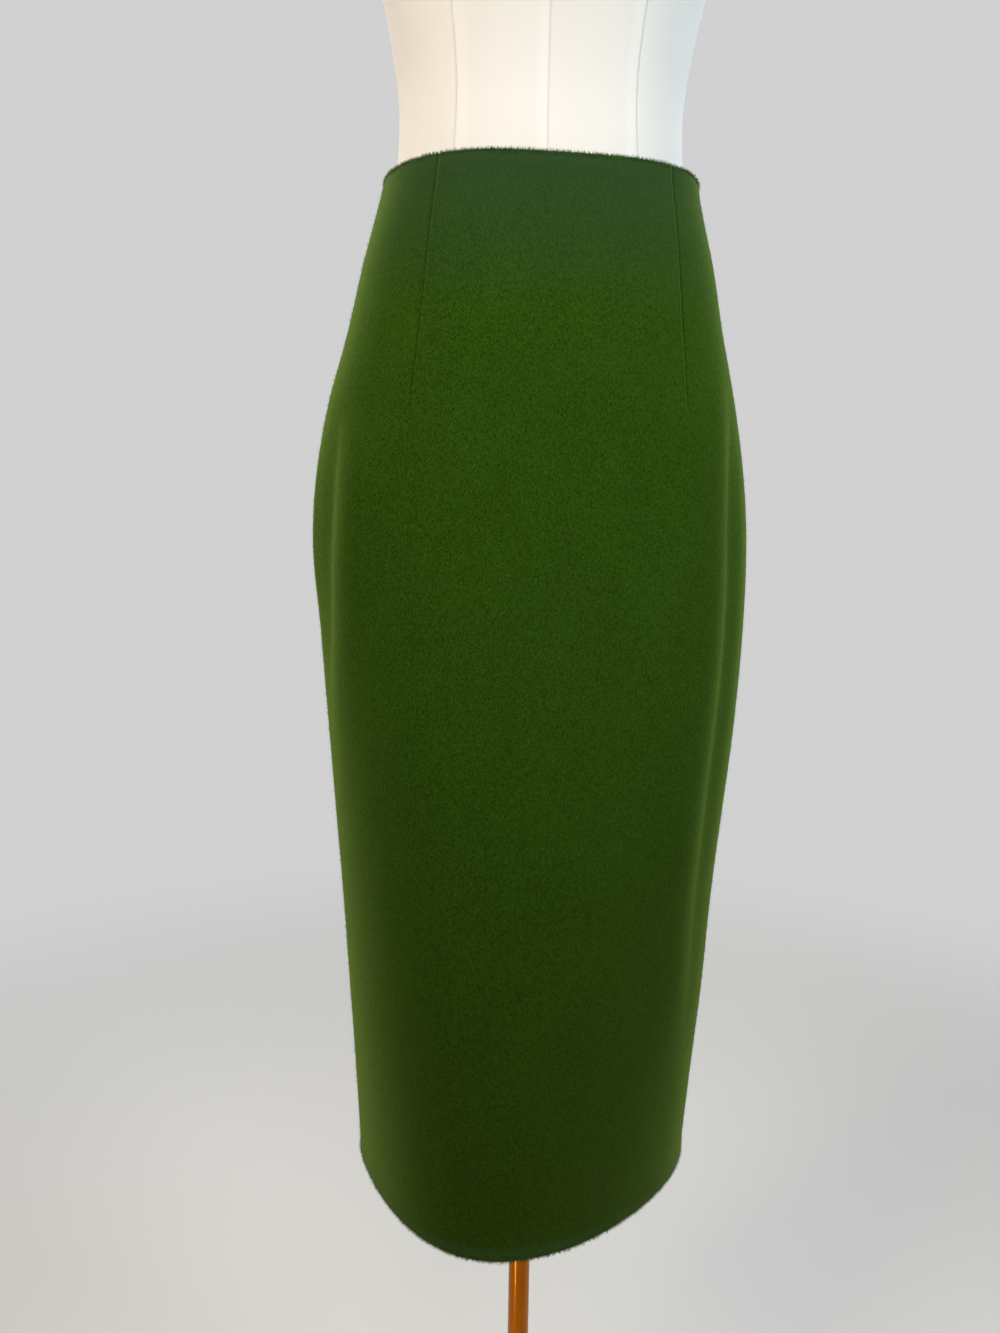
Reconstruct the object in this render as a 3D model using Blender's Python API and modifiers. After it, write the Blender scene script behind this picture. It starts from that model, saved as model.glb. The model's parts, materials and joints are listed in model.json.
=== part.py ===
"""High-waisted wool pencil skirt standing on a limbless dress form.

The skirt is a front panel with two darts and two back panels with one dart each,
joined at two side seams and a centre-back seam that holds a concealed zip and
ends in a short walking slit.  Each panel is a cloth wall lofted through level
rings of the garment.  Metres, +Z up, front towards -Y, origin on the floor under
the pole.
"""

import bmesh
import bpy
import numpy as np
from math import cos, pi, radians, sin
from mathutils import Matrix, Vector

# ---- the skirt's driving sizes ----
HEM_Z = 0.42            # height of the hem above the floor
LENGTH = 0.8116         # waist edge to hem, measured straight down
CLOTH = 0.0028          # felted double cloth
SEAM_GAP = 0.0004       # between panels that meet at a seam
DART_DEPTH = 0.0011     # how far a dart's line sinks
DART_WIDTH = 0.0035
SEAM_DEPTH = 0.0006     # how far a pressed seam sinks
SEAM_WIDTH = 0.0040
EDGE_TURN = 0.0005      # fullness of the turned waist and hem edges
EDGE_WIDTH = 0.0110
SLIT_RISE = 0.19        # walking slit, above the hem
SLIT_SPREAD = 0.0030    # how far its edges part at the hem

# Level rings of the skirt.  "front" and "back" are depths from the pole's axis,
# "flat" flattens the front and back, "round" fills out the sides (2 is an
# ellipse), "turn" is degrees about the pole, "skew" swings the front's fullness
# towards -X and "shift" moves the ring along X.
SKIRT_COLUMNS = ("rise", "half_width", "front", "back", "flat", "round", "turn", "skew",
                 "shift")
SKIRT_RINGS = (
    (0.0000, 0.1435, 0.1480, 0.1340, 2.12, 1.50, 2.0, 0.0140, 0.0000),
    (0.0800, 0.1481, 0.1445, 0.1335, 2.20, 1.64, 2.2, 0.0120, 0.0005),
    (0.1600, 0.1533, 0.1405, 0.1325, 2.25, 1.80, 2.5, 0.0100, 0.0008),
    (0.2400, 0.1579, 0.1355, 0.1310, 2.30, 1.90, 2.8, 0.0080, 0.0007),
    (0.3200, 0.1643, 0.1290, 0.1290, 2.40, 2.00, 3.0, 0.0060, 0.0011),
    (0.4000, 0.1706, 0.1215, 0.1265, 2.50, 2.10, 3.2, 0.0050, 0.0012),
    (0.4700, 0.1746, 0.1150, 0.1235, 2.55, 2.20, 3.4, 0.0040, 0.0004),
    (0.5300, 0.1767, 0.1100, 0.1195, 2.60, 2.25, 3.6, 0.0035, -0.0020),
    (0.5850, 0.1732, 0.1055, 0.1130, 2.65, 2.25, 3.8, 0.0035, -0.0028),
    (0.6400, 0.1643, 0.1000, 0.1035, 2.70, 2.20, 4.0, 0.0035, -0.0022),
    (0.6950, 0.1503, 0.0935, 0.0925, 2.80, 2.15, 4.0, 0.0035, -0.0008),
    (0.7500, 0.1386, 0.0865, 0.0825, 2.90, 2.05, 4.0, 0.0035, 0.0004),
    (0.7900, 0.1280, 0.0820, 0.0765, 3.00, 2.00, 4.0, 0.0035, 0.0008),
    (0.8116, 0.1226, 0.0798, 0.0745, 3.00, 2.00, 4.0, 0.0035, 0.0014),
)
WAIST_TILT = 0.018      # the waist edge's rise for each metre towards +X

# Where a dart's line crosses a ring, as a share of the quarter from the centre
# line (0) to the side seam (1), at the waist edge and at the dart's point.
DART_COLUMNS = ("panel", "side", "at_waist", "at_point", "length")
DARTS = (
    ("front", -1, 0.520, 0.465, 0.178),
    ("front", 1, 0.550, 0.485, 0.177),
    ("back", -1, 0.500, 0.450, 0.140),
    ("back", 1, 0.500, 0.450, 0.143),
)

# Soft vertical ridges where the cloth leaves the hips.  "place" runs from 0 at the
# centre front through 1 at a side seam to 2 at the centre back.
FOLD_COLUMNS = ("side", "place", "low", "high", "width", "height")
FOLDS = (
    (-1, 0.720, 0.30, 0.66, 0.016, 0.0012),
    (-1, 0.810, 0.32, 0.62, 0.012, -0.0009),
    (1, 0.740, 0.20, 0.69, 0.014, 0.0012),
    (1, 0.815, 0.26, 0.64, 0.010, -0.0008),
    (1, 1.200, 0.28, 0.60, 0.018, 0.0010),
    (-1, 1.170, 0.22, 0.56, 0.016, 0.0011),
    (-1, 1.640, 0.10, 0.42, 0.022, 0.0009),
    (1, 1.560, 0.16, 0.50, 0.020, -0.0009),
)

# ---- the dress form and its stand ----
FORM_COLUMNS = ("height", "half_width", "front", "back", "flat", "round")
FORM_RINGS = (
    (0.8000, 0.1480, 0.0840, 0.0930, 2.4, 2.1),
    (0.8050, 0.1535, 0.0890, 0.0980, 2.4, 2.1),
    (0.8200, 0.1580, 0.0925, 0.1030, 2.4, 2.1),
    (0.8700, 0.1625, 0.0965, 0.1085, 2.4, 2.1),
    (0.9450, 0.1665, 0.0988, 0.1120, 2.4, 2.1),
    (1.0100, 0.1610, 0.0951, 0.1045, 2.4, 2.1),
    (1.0700, 0.1480, 0.0888, 0.0920, 2.5, 2.1),
    (1.1300, 0.1325, 0.0828, 0.0810, 2.6, 2.0),
    (1.1850, 0.1205, 0.0760, 0.0720, 2.6, 2.0),
    (1.2316, 0.1128, 0.0726, 0.0680, 2.6, 2.0),
    (1.2850, 0.1103, 0.0708, 0.0660, 2.5, 2.0),
    (1.3400, 0.1180, 0.0775, 0.0700, 2.4, 2.0),
    (1.3900, 0.1290, 0.0905, 0.0770, 2.3, 2.0),
    (1.4500, 0.1385, 0.1040, 0.0850, 2.3, 2.0),
    (1.5100, 0.1470, 0.1000, 0.0910, 2.3, 2.0),
    (1.5700, 0.1585, 0.0845, 0.0880, 2.3, 2.0),
    (1.6080, 0.1600, 0.0700, 0.0790, 2.3, 2.0),
    (1.6360, 0.1370, 0.0610, 0.0690, 2.2, 2.0),
    (1.6570, 0.0990, 0.0540, 0.0600, 2.1, 2.0),
    (1.6780, 0.0680, 0.0500, 0.0550, 2.0, 2.0),
    (1.7100, 0.0570, 0.0480, 0.0520, 2.0, 2.0),
    (1.7400, 0.0555, 0.0475, 0.0510, 2.0, 2.0),
)
FORM_TOP = 1.74
FORM_BOTTOM = 0.80
POLE_RADIUS = 0.0095
BASE_RADIUS = 0.190
BASE_TOP = 0.010
GAP = 0.0003            # between solids that touch

# ---- the zip ----
TAPE_WIDTH = 0.024
TAPE_THICK = 0.0008
TAPE_LENGTH = 0.205
TAPE_LIFT = 0.0009      # between the tape and the panels' inner faces
SLIDER_DROP = 0.010     # slider's pivot below the waist edge
PULL_LENGTH = 0.0215

QUARTER_STEPS = 90
ROWS = (0.0, 0.0025, 0.006, 0.011, 0.016, 0.05, 0.10, 0.15, 0.19, 0.23, 0.28, 0.33,
        0.38, 0.43, 0.48, 0.52, 0.56, 0.60, 0.635, 0.67, 0.70, 0.73, 0.76, 0.78,
        0.795, 0.8005, 0.8055, 0.809, 0.8116)
# Columns of half a panel: 0 is its centre line, 0.5 its dart and 1 its side seam.
DART_TO_SEAM = (0.43, 0.475, 0.5, 0.525, 0.57, 0.66, 0.76, 0.85, 0.91, 0.955, 0.98, 1.0)
HALF_COLUMNS = {"front": (0.0, 0.16, 0.32, *DART_TO_SEAM),
                "back": (0.0, 0.018, 0.045, 0.12, 0.28, *DART_TO_SEAM)}


# ---- rings ----
def sample(table, key):
    """One row of a table at the given key, by a cubic through its rows."""
    table = np.array(table, dtype=float)
    keys = table[:, 0]
    slopes = np.gradient(table, keys, axis=0)
    i = int(np.clip(np.searchsorted(keys, key) - 1, 0, len(keys) - 2))
    step = keys[i + 1] - keys[i]
    t = min(max((key - keys[i]) / step, 0.0), 1.0)
    return ((2 * t**3 - 3 * t**2 + 1) * table[i] + (t**3 - 2 * t**2 + t) * step * slopes[i]
            + (3 * t**2 - 2 * t**3) * table[i + 1] + (t**3 - t**2) * step * slopes[i + 1])


def quarter(half_width, depth, flat, round_):
    """A quarter ring from its centre line to its side, with the length run so far."""
    t = np.linspace(0, pi / 2, QUARTER_STEPS + 1)
    x = half_width * np.sin(t) ** (2 / flat)
    y = depth * np.maximum(np.cos(t), 0) ** (2 / round_)
    run = np.concatenate([[0], np.cumsum(np.hypot(np.diff(x), np.diff(y)))])
    return x, y, run


def on_ring(row, place):
    """Point and quarter length where place runs 0 front, 1 side, 2 back, signed by side."""
    half_width, front, back, flat, round_ = row[1:6]
    side = -1.0 if place < 0 else 1.0
    share = abs(place)
    behind = share > 1
    x, y, run = quarter(half_width, back if behind else front, flat, round_)
    length = run[-1] * ((2 - share) if behind else share)
    px = side * np.interp(length, run, x)
    py = np.interp(length, run, y) * (1 if behind else -1)
    return np.array([px, py]), run[-1]


def bump(distance, width):
    """A soft swell, 1 at its middle and nearly 0 one and a half widths away."""
    return np.exp(-((distance / width) ** 2) * 2)


def fade(value, low, high):
    """0 below low and 1 above high, smooth between."""
    t = np.clip((value - low) / (high - low), 0, 1)
    return t * t * (3 - 2 * t)


def dart_place(dart, rise):
    """Signed place of a dart's line on the ring at this rise, held below its point."""
    panel, side, at_waist, at_point, length = dart
    down = min((LENGTH - rise) / length, 1.0)
    share = at_waist + (at_point - at_waist) * down
    return side * (share if panel == "front" else 2 - share)


def relief(rise, place, length):
    """How far the cloth stands out from its plain ring here."""
    out = 0.0
    for dart in DARTS:
        off = (place - dart_place(dart, rise)) * length
        out -= DART_DEPTH * bump(off, DART_WIDTH) * fade(rise, LENGTH - dart[4], LENGTH - dart[4] + 0.03)
    for seam in (-2, -1, 1, 2):
        out -= SEAM_DEPTH * bump((place - seam) * length, SEAM_WIDTH)
    for side, where, low, high, width, height in FOLDS:
        off = (place - side * where) * length
        ends = fade(rise, low, low + 0.12) * (1 - fade(rise, high - 0.08, high))
        out += height * bump(off, width) * ends
    for edge in (0.0, LENGTH):
        out += EDGE_TURN * bump(abs(rise - edge) - EDGE_WIDTH / 2, EDGE_WIDTH / 2)
    return out


def plain_point(rise, place):
    """A point of the skirt's plain ring, and the quarter's length there."""
    row = sample(SKIRT_RINGS, rise)
    place = (place + 2) % 4 - 2
    point, length = on_ring(row, place)
    turn, skew, shift = radians(row[6]), row[7], row[8]
    if abs(place) < 1:
        point[1] += skew * 2.6 * sin(place * pi / 2) * cos(place * pi / 2) ** 2
    x = point[0] * cos(turn) - point[1] * sin(turn) + shift
    y = point[0] * sin(turn) + point[1] * cos(turn)
    lean = x * WAIST_TILT * fade(rise, 0.4, LENGTH)
    return np.array([x, y, HEM_Z + rise + lean]), length


def skirt_frame(rise, place):
    """Point on the skirt's outside, with its outward and upward directions."""
    def outside(at_rise, at_place):
        point, length = plain_point(at_rise, at_place)
        ahead, _ = plain_point(at_rise, at_place + 0.004)
        before, _ = plain_point(at_rise, at_place - 0.004)
        run = ahead - before
        out = np.array([run[1], -run[0], 0.0])
        out /= np.linalg.norm(out)
        return point + out * relief(at_rise, at_place, length)

    point = outside(rise, place)
    across = outside(rise, place + 0.006) - outside(rise, place - 0.006)
    low, high = max(rise - 0.003, 0.0), min(rise + 0.003, LENGTH)
    upward = outside(high, place) - outside(low, place)
    out = np.cross(across, upward)
    return point, out / np.linalg.norm(out), upward / np.linalg.norm(upward)


# ---- making objects ----
def collection(name):
    made = bpy.data.collections.new(name)
    bpy.context.scene.collection.children.link(made)
    return made


def material(name, colour, roughness, metallic=0.0):
    made = bpy.data.materials.new(name)
    made.use_nodes = True
    shader = made.node_tree.nodes["Principled BSDF"]
    shader.inputs["Base Color"].default_value = (*colour, 1.0)
    shader.inputs["Roughness"].default_value = roughness
    shader.inputs["Metallic"].default_value = metallic
    return made


def place_object(obj, where, finish, smooth_angle=40):
    obj.data.materials.clear()
    obj.data.materials.append(finish)
    for holder in list(obj.users_collection):
        holder.objects.unlink(obj)
    where.objects.link(obj)
    if obj.type == "MESH":
        obj.data.shade_smooth()
        obj.data.set_sharp_from_angle(angle=radians(smooth_angle))
    return obj


def closed_mesh(name, points, faces, where, finish):
    """An object from computed points, its faces turned outwards."""
    mesh = bpy.data.meshes.new(name)
    mesh.from_pydata([tuple(p) for p in points], [], faces)
    work = bmesh.new()
    work.from_mesh(mesh)
    bmesh.ops.recalc_face_normals(work, faces=work.faces)
    work.to_mesh(mesh)
    work.free()
    return place_object(bpy.data.objects.new(name, mesh), where, finish)


def strip_wall(name, strips, where, finish):
    """A wall lofted along closed cross-sections of equal length, capped at both ends."""
    size = len(strips[0])
    points = [p for strip in strips for p in strip]
    faces = []
    for i in range(len(strips) - 1):
        for j in range(size):
            k = (j + 1) % size
            faces.append((i * size + j, i * size + k, (i + 1) * size + k, (i + 1) * size + j))
    for first in (0, (len(strips) - 1) * size):
        # quads across the wall, from the lower edge's point to the upper edge's
        rows = (size - 2) // 2
        low, high = first, first + rows + 1
        outer = [first + 1 + r for r in range(rows)]
        inner = [first + size - 1 - r for r in range(rows)]
        faces.append((low, outer[0], inner[0]))
        faces += [(outer[r], outer[r + 1], inner[r + 1], inner[r]) for r in range(rows - 1)]
        faces.append((outer[-1], high, inner[-1]))
    return closed_mesh(name, points, faces, where, finish)


def cloth_section(place_at, rows, lift, thick, round_edge):
    """One vertical section of a cloth layer, lift below the skirt's outside."""
    outer, inner = [], []
    for rise in rows:
        point, out, _ = skirt_frame(rise, place_at(rise))
        outer.append(point - out * lift)
        inner.append(point - out * (lift + thick))
    bottom = (outer[0] + inner[0]) / 2
    top = (outer[-1] + inner[-1]) / 2
    bottom[2] -= round_edge
    top[2] += round_edge
    return [bottom, *outer, top, *inner[::-1]]


def slit_gap(rise):
    """Half the space between the two back panels at the centre back."""
    return SEAM_GAP / 2 + SLIT_SPREAD / 2 * (1 - fade(rise, 0.0, SLIT_RISE)) ** 1.5


def half_panel(panel, side):
    """Signed place functions of half a panel's columns, centre line first."""
    dart = next(d for d in DARTS if d[0] == panel and d[1] == side)

    def column(share):
        def place_at(rise):
            length = plain_point(rise, side * (0.5 if panel == "front" else 1.5))[1]
            at_dart = abs(dart_place(dart, rise))
            at_side = 1 - SEAM_GAP / 2 / length
            if panel == "front":
                return side * np.interp(share, (0, 0.5, 1), (0, at_dart, at_side))
            at_side = 2 - at_side
            at_centre = 2 - slit_gap(rise) / length
            return side * np.interp(share, (0, 0.5, 1), (at_centre, at_dart, at_side))
        return place_at

    return [column(share) for share in HALF_COLUMNS[panel]]


def skirt_panel(name, columns, where, finish):
    rows = [0.0009] + [r for r in ROWS if 0 < r < LENGTH] + [LENGTH - 0.0009]
    strips = [cloth_section(at, rows, 0.0, CLOTH, 0.0009) for at in columns]
    return strip_wall(name, strips, where, finish)


def ring_solid(name, table, heights, steps, where, finish):
    """A solid lofted through a table's rings, closed by a flat face at each end."""
    points, faces = [], []
    places = [4 * i / steps - 2 for i in range(steps)]
    for height in heights:
        row = sample(table, height)
        points += [(*on_ring(row, p)[0], height) for p in places]
    for i in range(len(heights) - 1):
        for j in range(steps):
            k = (j + 1) % steps
            faces.append((i * steps + j, i * steps + k, (i + 1) * steps + k, (i + 1) * steps + j))
    faces.append(tuple(range(steps)))
    faces.append(tuple(range((len(heights) - 1) * steps, len(heights) * steps)))
    return closed_mesh(name, points, faces, where, finish)


def turned(name, profile, steps, where, finish, closed=False):
    """A profile of (radius, height) points turned about the pole's axis."""
    mesh = bpy.data.meshes.new(name)
    count = len(profile)
    edges = [(i, i + 1) for i in range(count - 1)] + ([(count - 1, 0)] if closed else [])
    mesh.from_pydata([(r, 0.0, z) for r, z in profile], edges, [])
    obj = bpy.data.objects.new(name, mesh)
    screw = obj.modifiers.new("turn", "SCREW")
    screw.steps = screw.render_steps = steps
    screw.use_merge_vertices = True
    screw.merge_threshold = 0.0001
    return place_object(obj, where, finish)


def rod(name, radius, low, high, steps, where, finish):
    bpy.ops.mesh.primitive_cylinder_add(vertices=steps, radius=radius, depth=high - low,
                                        location=(0, 0, (low + high) / 2))
    obj = bpy.context.object
    obj.name = name
    return place_object(obj, where, finish)


def flat_outline(name, loops, thick):
    """A mesh from flat outlines, the first one outside and the rest holes."""
    curve = bpy.data.curves.new(name, "CURVE")
    curve.dimensions = "2D"
    curve.fill_mode = "BOTH"
    curve.extrude = thick / 2
    for loop in loops:
        spline = curve.splines.new("POLY")
        spline.points.add(len(loop) - 1)
        spline.use_cyclic_u = True
        for point, (x, y) in zip(spline.points, loop):
            point.co = (x, y, 0, 1)
    made = bpy.data.objects.new(name, curve)
    bpy.context.scene.collection.objects.link(made)
    bpy.context.view_layer.update()
    mesh = bpy.data.meshes.new_from_object(made.evaluated_get(bpy.context.evaluated_depsgraph_get()))
    bpy.data.objects.remove(made)
    work = bmesh.new()
    work.from_mesh(mesh)
    bmesh.ops.remove_doubles(work, verts=work.verts, dist=0.00001)
    bmesh.ops.recalc_face_normals(work, faces=work.faces)
    work.to_mesh(mesh)
    work.free()
    mesh.name = name
    return bpy.data.objects.new(name, mesh)


def rounded_box(width, height, radius, centre=(0, 0), steps=3):
    """Corner-rounded rectangle as a loop of points."""
    loop = []
    for corner, (sx, sy) in enumerate(((1, 1), (-1, 1), (-1, -1), (1, -1))):
        cx = centre[0] + sx * (width / 2 - radius)
        cy = centre[1] + sy * (height / 2 - radius)
        for i in range(steps + 1):
            angle = (corner + i / steps) * pi / 2
            loop.append((cx + radius * cos(angle), cy + radius * sin(angle)))
    return loop


# ---- the zip, in its own frame: X across, Y out of the cloth, Z up the seam ----
SLIDER_SIZE = (0.0052, 0.0090, 0.0009)      # plate: across, along, thick
ARCH = (0.0015, 0.0044, 0.0030)             # across, along, standing out of the plate
ARCH_BAR = 0.0010
PIVOT_OUT = 0.0022                          # pivot's height over the cloth
PULL_THICK = 0.0010
PULL_HEAD = 0.0048
PULL_SLOT = (0.0022, 0.0032)                # across, along


def zip_slider(frame, where, cutters, finish):
    across, along, thick = SLIDER_SIZE
    bpy.ops.mesh.primitive_cube_add(size=1)
    plate = bpy.context.object
    plate.name = "zip_slider"
    plate.data.transform(Matrix.Translation((0, GAP + thick / 2, 0))
                         @ Matrix.Diagonal((across, thick, along, 1)))
    bevel = plate.modifiers.new("soft edges", "BEVEL")
    bevel.width = 0.0003
    bevel.segments = 1

    width, length, stand = ARCH
    root = GAP + thick / 2
    centre = (root + (stand + thick / 2) / 2, 0.0)
    depth = stand + thick / 2
    outer = rounded_box(depth, length, 0.0008, centre)
    window = rounded_box(depth - 2 * ARCH_BAR + thick / 2, length - 2 * ARCH_BAR, 0.0003,
                         (GAP + thick + (stand - ARCH_BAR) / 2, 0.0), steps=1)
    arch = flat_outline("zip_slider_arch", (outer, window), width)
    # the outline's plane becomes the plane across the seam
    arch.data.transform(Matrix(((0, 0, 1, 0), (1, 0, 0, 0), (0, 1, 0, 0), (0, 0, 0, 1))))
    place_object(arch, cutters, finish)
    arch.hide_render = True
    arch.display_type = "WIRE"
    join = plate.modifiers.new("arch", "BOOLEAN")
    join.operation = "UNION"
    join.solver = "EXACT"
    join.object = arch
    plate.matrix_world = frame
    arch.matrix_world = frame
    return place_object(plate, where, finish)


def zip_pull(frame, where, finish):
    """A drop-shaped tab; its origin is the pivot that it turns about."""
    outline = []
    half_head, half_foot = PULL_HEAD / 2, 0.0030
    foot = -PULL_LENGTH + half_foot + 0.0005
    for i in range(5):
        angle = pi / 2 * i / 4
        outline.append((half_head - 0.0010 + 0.0010 * cos(angle), -0.0005 + 0.0010 * sin(angle)))
    outline += [(-x, y) for x, y in outline[::-1]]
    outline.append((-half_head, -0.0045))
    outline.append((-0.0016, -0.0075))
    outline += [(-half_foot * cos(pi * i / 10), foot - half_foot * sin(pi * i / 10))
                for i in range(11)]
    outline.append((0.0016, -0.0075))
    outline.append((half_head, -0.0045))
    slot_x, slot_z = PULL_SLOT
    slot = rounded_box(slot_x, slot_z, 0.0003, (0.0, -0.0005 - slot_z / 2), steps=1)
    pull = flat_outline("zip_pull", (outline, slot), PULL_THICK)
    pull.data.transform(Matrix(((1, 0, 0, 0), (0, 0, -1, 0), (0, 1, 0, 0), (0, 0, 0, 1))))
    pull.matrix_world = frame @ Matrix.Translation((0, PIVOT_OUT, 0))
    return place_object(pull, where, finish)


def zip_tape(where, finish):
    """The zip's tape, on the inside of the two back panels."""
    top = LENGTH - 0.004
    rows = np.linspace(top - TAPE_LENGTH, top, 12)
    strips = []
    for off in np.linspace(-TAPE_WIDTH / 2, TAPE_WIDTH / 2, 7):
        def place_at(rise, off=off):
            length = plain_point(rise, 1.5)[1]
            place = 2 - abs(off) / length
            return place if off >= 0 else -place
        strips.append(cloth_section(place_at, rows, CLOTH + TAPE_LIFT, TAPE_THICK, 0.0002))
    return strip_wall("zip_tape", strips[::-1], where, finish)


def zip_frame():
    """The frame that the slider and its pull are made in."""
    point, out, upward = skirt_frame(LENGTH - SLIDER_DROP, 2.0)
    point = point + out * (SEAM_DEPTH + 0.0001)
    across = np.cross(out, upward)
    across /= np.linalg.norm(across)
    upward = np.cross(across, out)
    frame = Matrix.Identity(4)
    for column, axis in enumerate((across, out, upward)):
        for row in range(3):
            frame[row][column] = axis[row]
    frame.translation = Vector(point)
    return frame


# ---- the whole object ----
def build():
    for obj in list(bpy.data.objects):
        bpy.data.objects.remove(obj, do_unlink=True)
    parts = collection("pencil_skirt_on_dress_form")
    cutters = collection("cutters")

    wool = material("green_wool", (0.030, 0.085, 0.010), 0.95)
    tape = material("zip_tape", (0.018, 0.050, 0.008), 0.9)
    enamel = material("zip_enamel", (0.025, 0.075, 0.010), 0.4, 0.3)
    cover = material("form_cover", (0.80, 0.78, 0.74), 0.85)
    brass = material("brass", (0.47, 0.165, 0.015), 0.28, 1.0)

    front = half_panel("front", -1)[::-1] + half_panel("front", 1)[1:]
    skirt_panel("skirt_front", front, parts, wool)
    skirt_panel("skirt_back_left", half_panel("back", -1), parts, wool)
    skirt_panel("skirt_back_right", half_panel("back", 1), parts, wool)

    frame = zip_frame()
    zip_tape(parts, tape)
    zip_slider(frame, parts, cutters, enamel)
    zip_pull(frame, parts, enamel)

    heights = [row[0] for row in FORM_RINGS]
    extra = [(a + b) / 2 for a, b in zip(heights, heights[1:]) if b - a > 0.045]
    ring_solid("form_torso", FORM_RINGS, sorted(heights + extra), 40, parts, cover)
    neck = FORM_RINGS[-1]
    cap_low = FORM_TOP + GAP
    cap = [(cap_low + up, neck[1] + grow, neck[2] + grow, neck[3] + grow, 2.0, 2.0)
           for up, grow in ((0.0, 0.0005), (0.0015, 0.0020), (0.0060, 0.0025), (0.0100, 0.0010),
                            (0.0130, -0.0060), (0.0150, -0.0200), (0.0160, -0.0360))]
    ring_solid("form_neck_cap", cap, [row[0] for row in cap], 40, parts, brass)

    base_rim = [(BASE_RADIUS - 0.003 + 0.003 * cos(a), 0.0035 + 0.003 * sin(a))
                for a in (radians(d) for d in (60, 30, 0, -30, -60))]
    turned("stand_base", [(0.0, BASE_TOP), (0.045, BASE_TOP), (0.120, 0.0085), *base_rim,
                          (BASE_RADIUS - 0.005, 0.0), (0.0, 0.0)], 64, parts, brass)
    rod("stand_pole", POLE_RADIUS, BASE_TOP + GAP, FORM_BOTTOM - 0.006 - 2 * GAP, 24, parts, brass)
    inside = POLE_RADIUS + GAP
    low, top = BASE_TOP + GAP, BASE_TOP + 0.040
    turned("stand_socket", [(inside, top), (0.0150, top), (0.0165, top - 0.002),
                            (0.0165, low + 0.010), (0.0260, low + 0.003), (0.0260, low),
                            (inside, low)], 32, parts, brass, closed=True)
    turned("form_flange", [(0.0, FORM_BOTTOM - GAP), (0.045, FORM_BOTTOM - GAP),
                           (0.045, FORM_BOTTOM - 0.004), (0.043, FORM_BOTTOM - 0.006),
                           (0.0, FORM_BOTTOM - 0.006)], 32, parts, brass)
    turned("form_collar", [(inside, FORM_BOTTOM - 0.0065), (0.0160, FORM_BOTTOM - 0.0065),
                           (0.0160, FORM_BOTTOM - 0.034), (0.0145, FORM_BOTTOM - 0.036),
                           (inside, FORM_BOTTOM - 0.036)], 32, parts, brass, closed=True)


build()
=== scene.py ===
"""Looks of the green wool pencil skirt on its dress form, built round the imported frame.

Metres, +Z up, the skirt's front towards -Y.  The tables of rings, darts and folds are
the part's own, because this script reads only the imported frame.
"""

import json
from math import cos, pi, radians, sin, sqrt

import bmesh
import bpy
import numpy as np
from mathutils import Matrix, Vector


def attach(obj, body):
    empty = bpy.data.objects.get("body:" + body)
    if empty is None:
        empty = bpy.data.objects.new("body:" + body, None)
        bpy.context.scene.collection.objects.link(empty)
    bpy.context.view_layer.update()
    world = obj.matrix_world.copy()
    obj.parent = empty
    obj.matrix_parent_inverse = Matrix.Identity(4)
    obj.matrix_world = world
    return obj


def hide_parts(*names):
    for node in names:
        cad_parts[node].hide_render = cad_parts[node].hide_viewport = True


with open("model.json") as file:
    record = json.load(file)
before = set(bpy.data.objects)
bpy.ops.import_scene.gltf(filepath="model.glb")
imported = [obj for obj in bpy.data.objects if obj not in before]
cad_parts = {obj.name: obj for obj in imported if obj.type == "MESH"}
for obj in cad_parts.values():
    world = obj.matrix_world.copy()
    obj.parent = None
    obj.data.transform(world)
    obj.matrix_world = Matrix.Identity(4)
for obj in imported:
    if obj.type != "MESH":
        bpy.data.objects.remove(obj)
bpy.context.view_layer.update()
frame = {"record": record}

# ------------------------ sizes of the skirt
HEM_Z = 0.42
LENGTH = 0.8116
CLOTH = 0.0028
SEAM_GAP = 0.0004
SEAM_DEPTH = 0.0006
SEAM_WIDTH = 0.0040
EDGE_TURN = 0.0005
EDGE_WIDTH = 0.0110
SLIT_RISE = 0.19
SLIT_SPREAD = 0.0030
WAIST_TILT = 0.018

# A dart is a fine line in a soft hollow, with a slight roll on the side of the centre.
DART_HOLLOW, DART_HOLLOW_WIDTH = 0.0004, 0.0070
DART_LINE, DART_LINE_WIDTH = 0.0007, 0.0016
DART_ROLL, DART_ROLL_WIDTH = 0.00030, 0.0020
ROUND_EDGE = 0.0016     # rounding of the waist and hem edges
ROUND_SEAM = 0.0012     # rounding of a panel's sewn edges
DART_FADE = (-0.008, 0.012)     # a dart dies out over this stretch round its point
CREASE_CUSP = 0.0022    # rounding of a crease's bottom line
SLACK = 0.00022         # waviness of a heavy cloth that hangs free of the form

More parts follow.
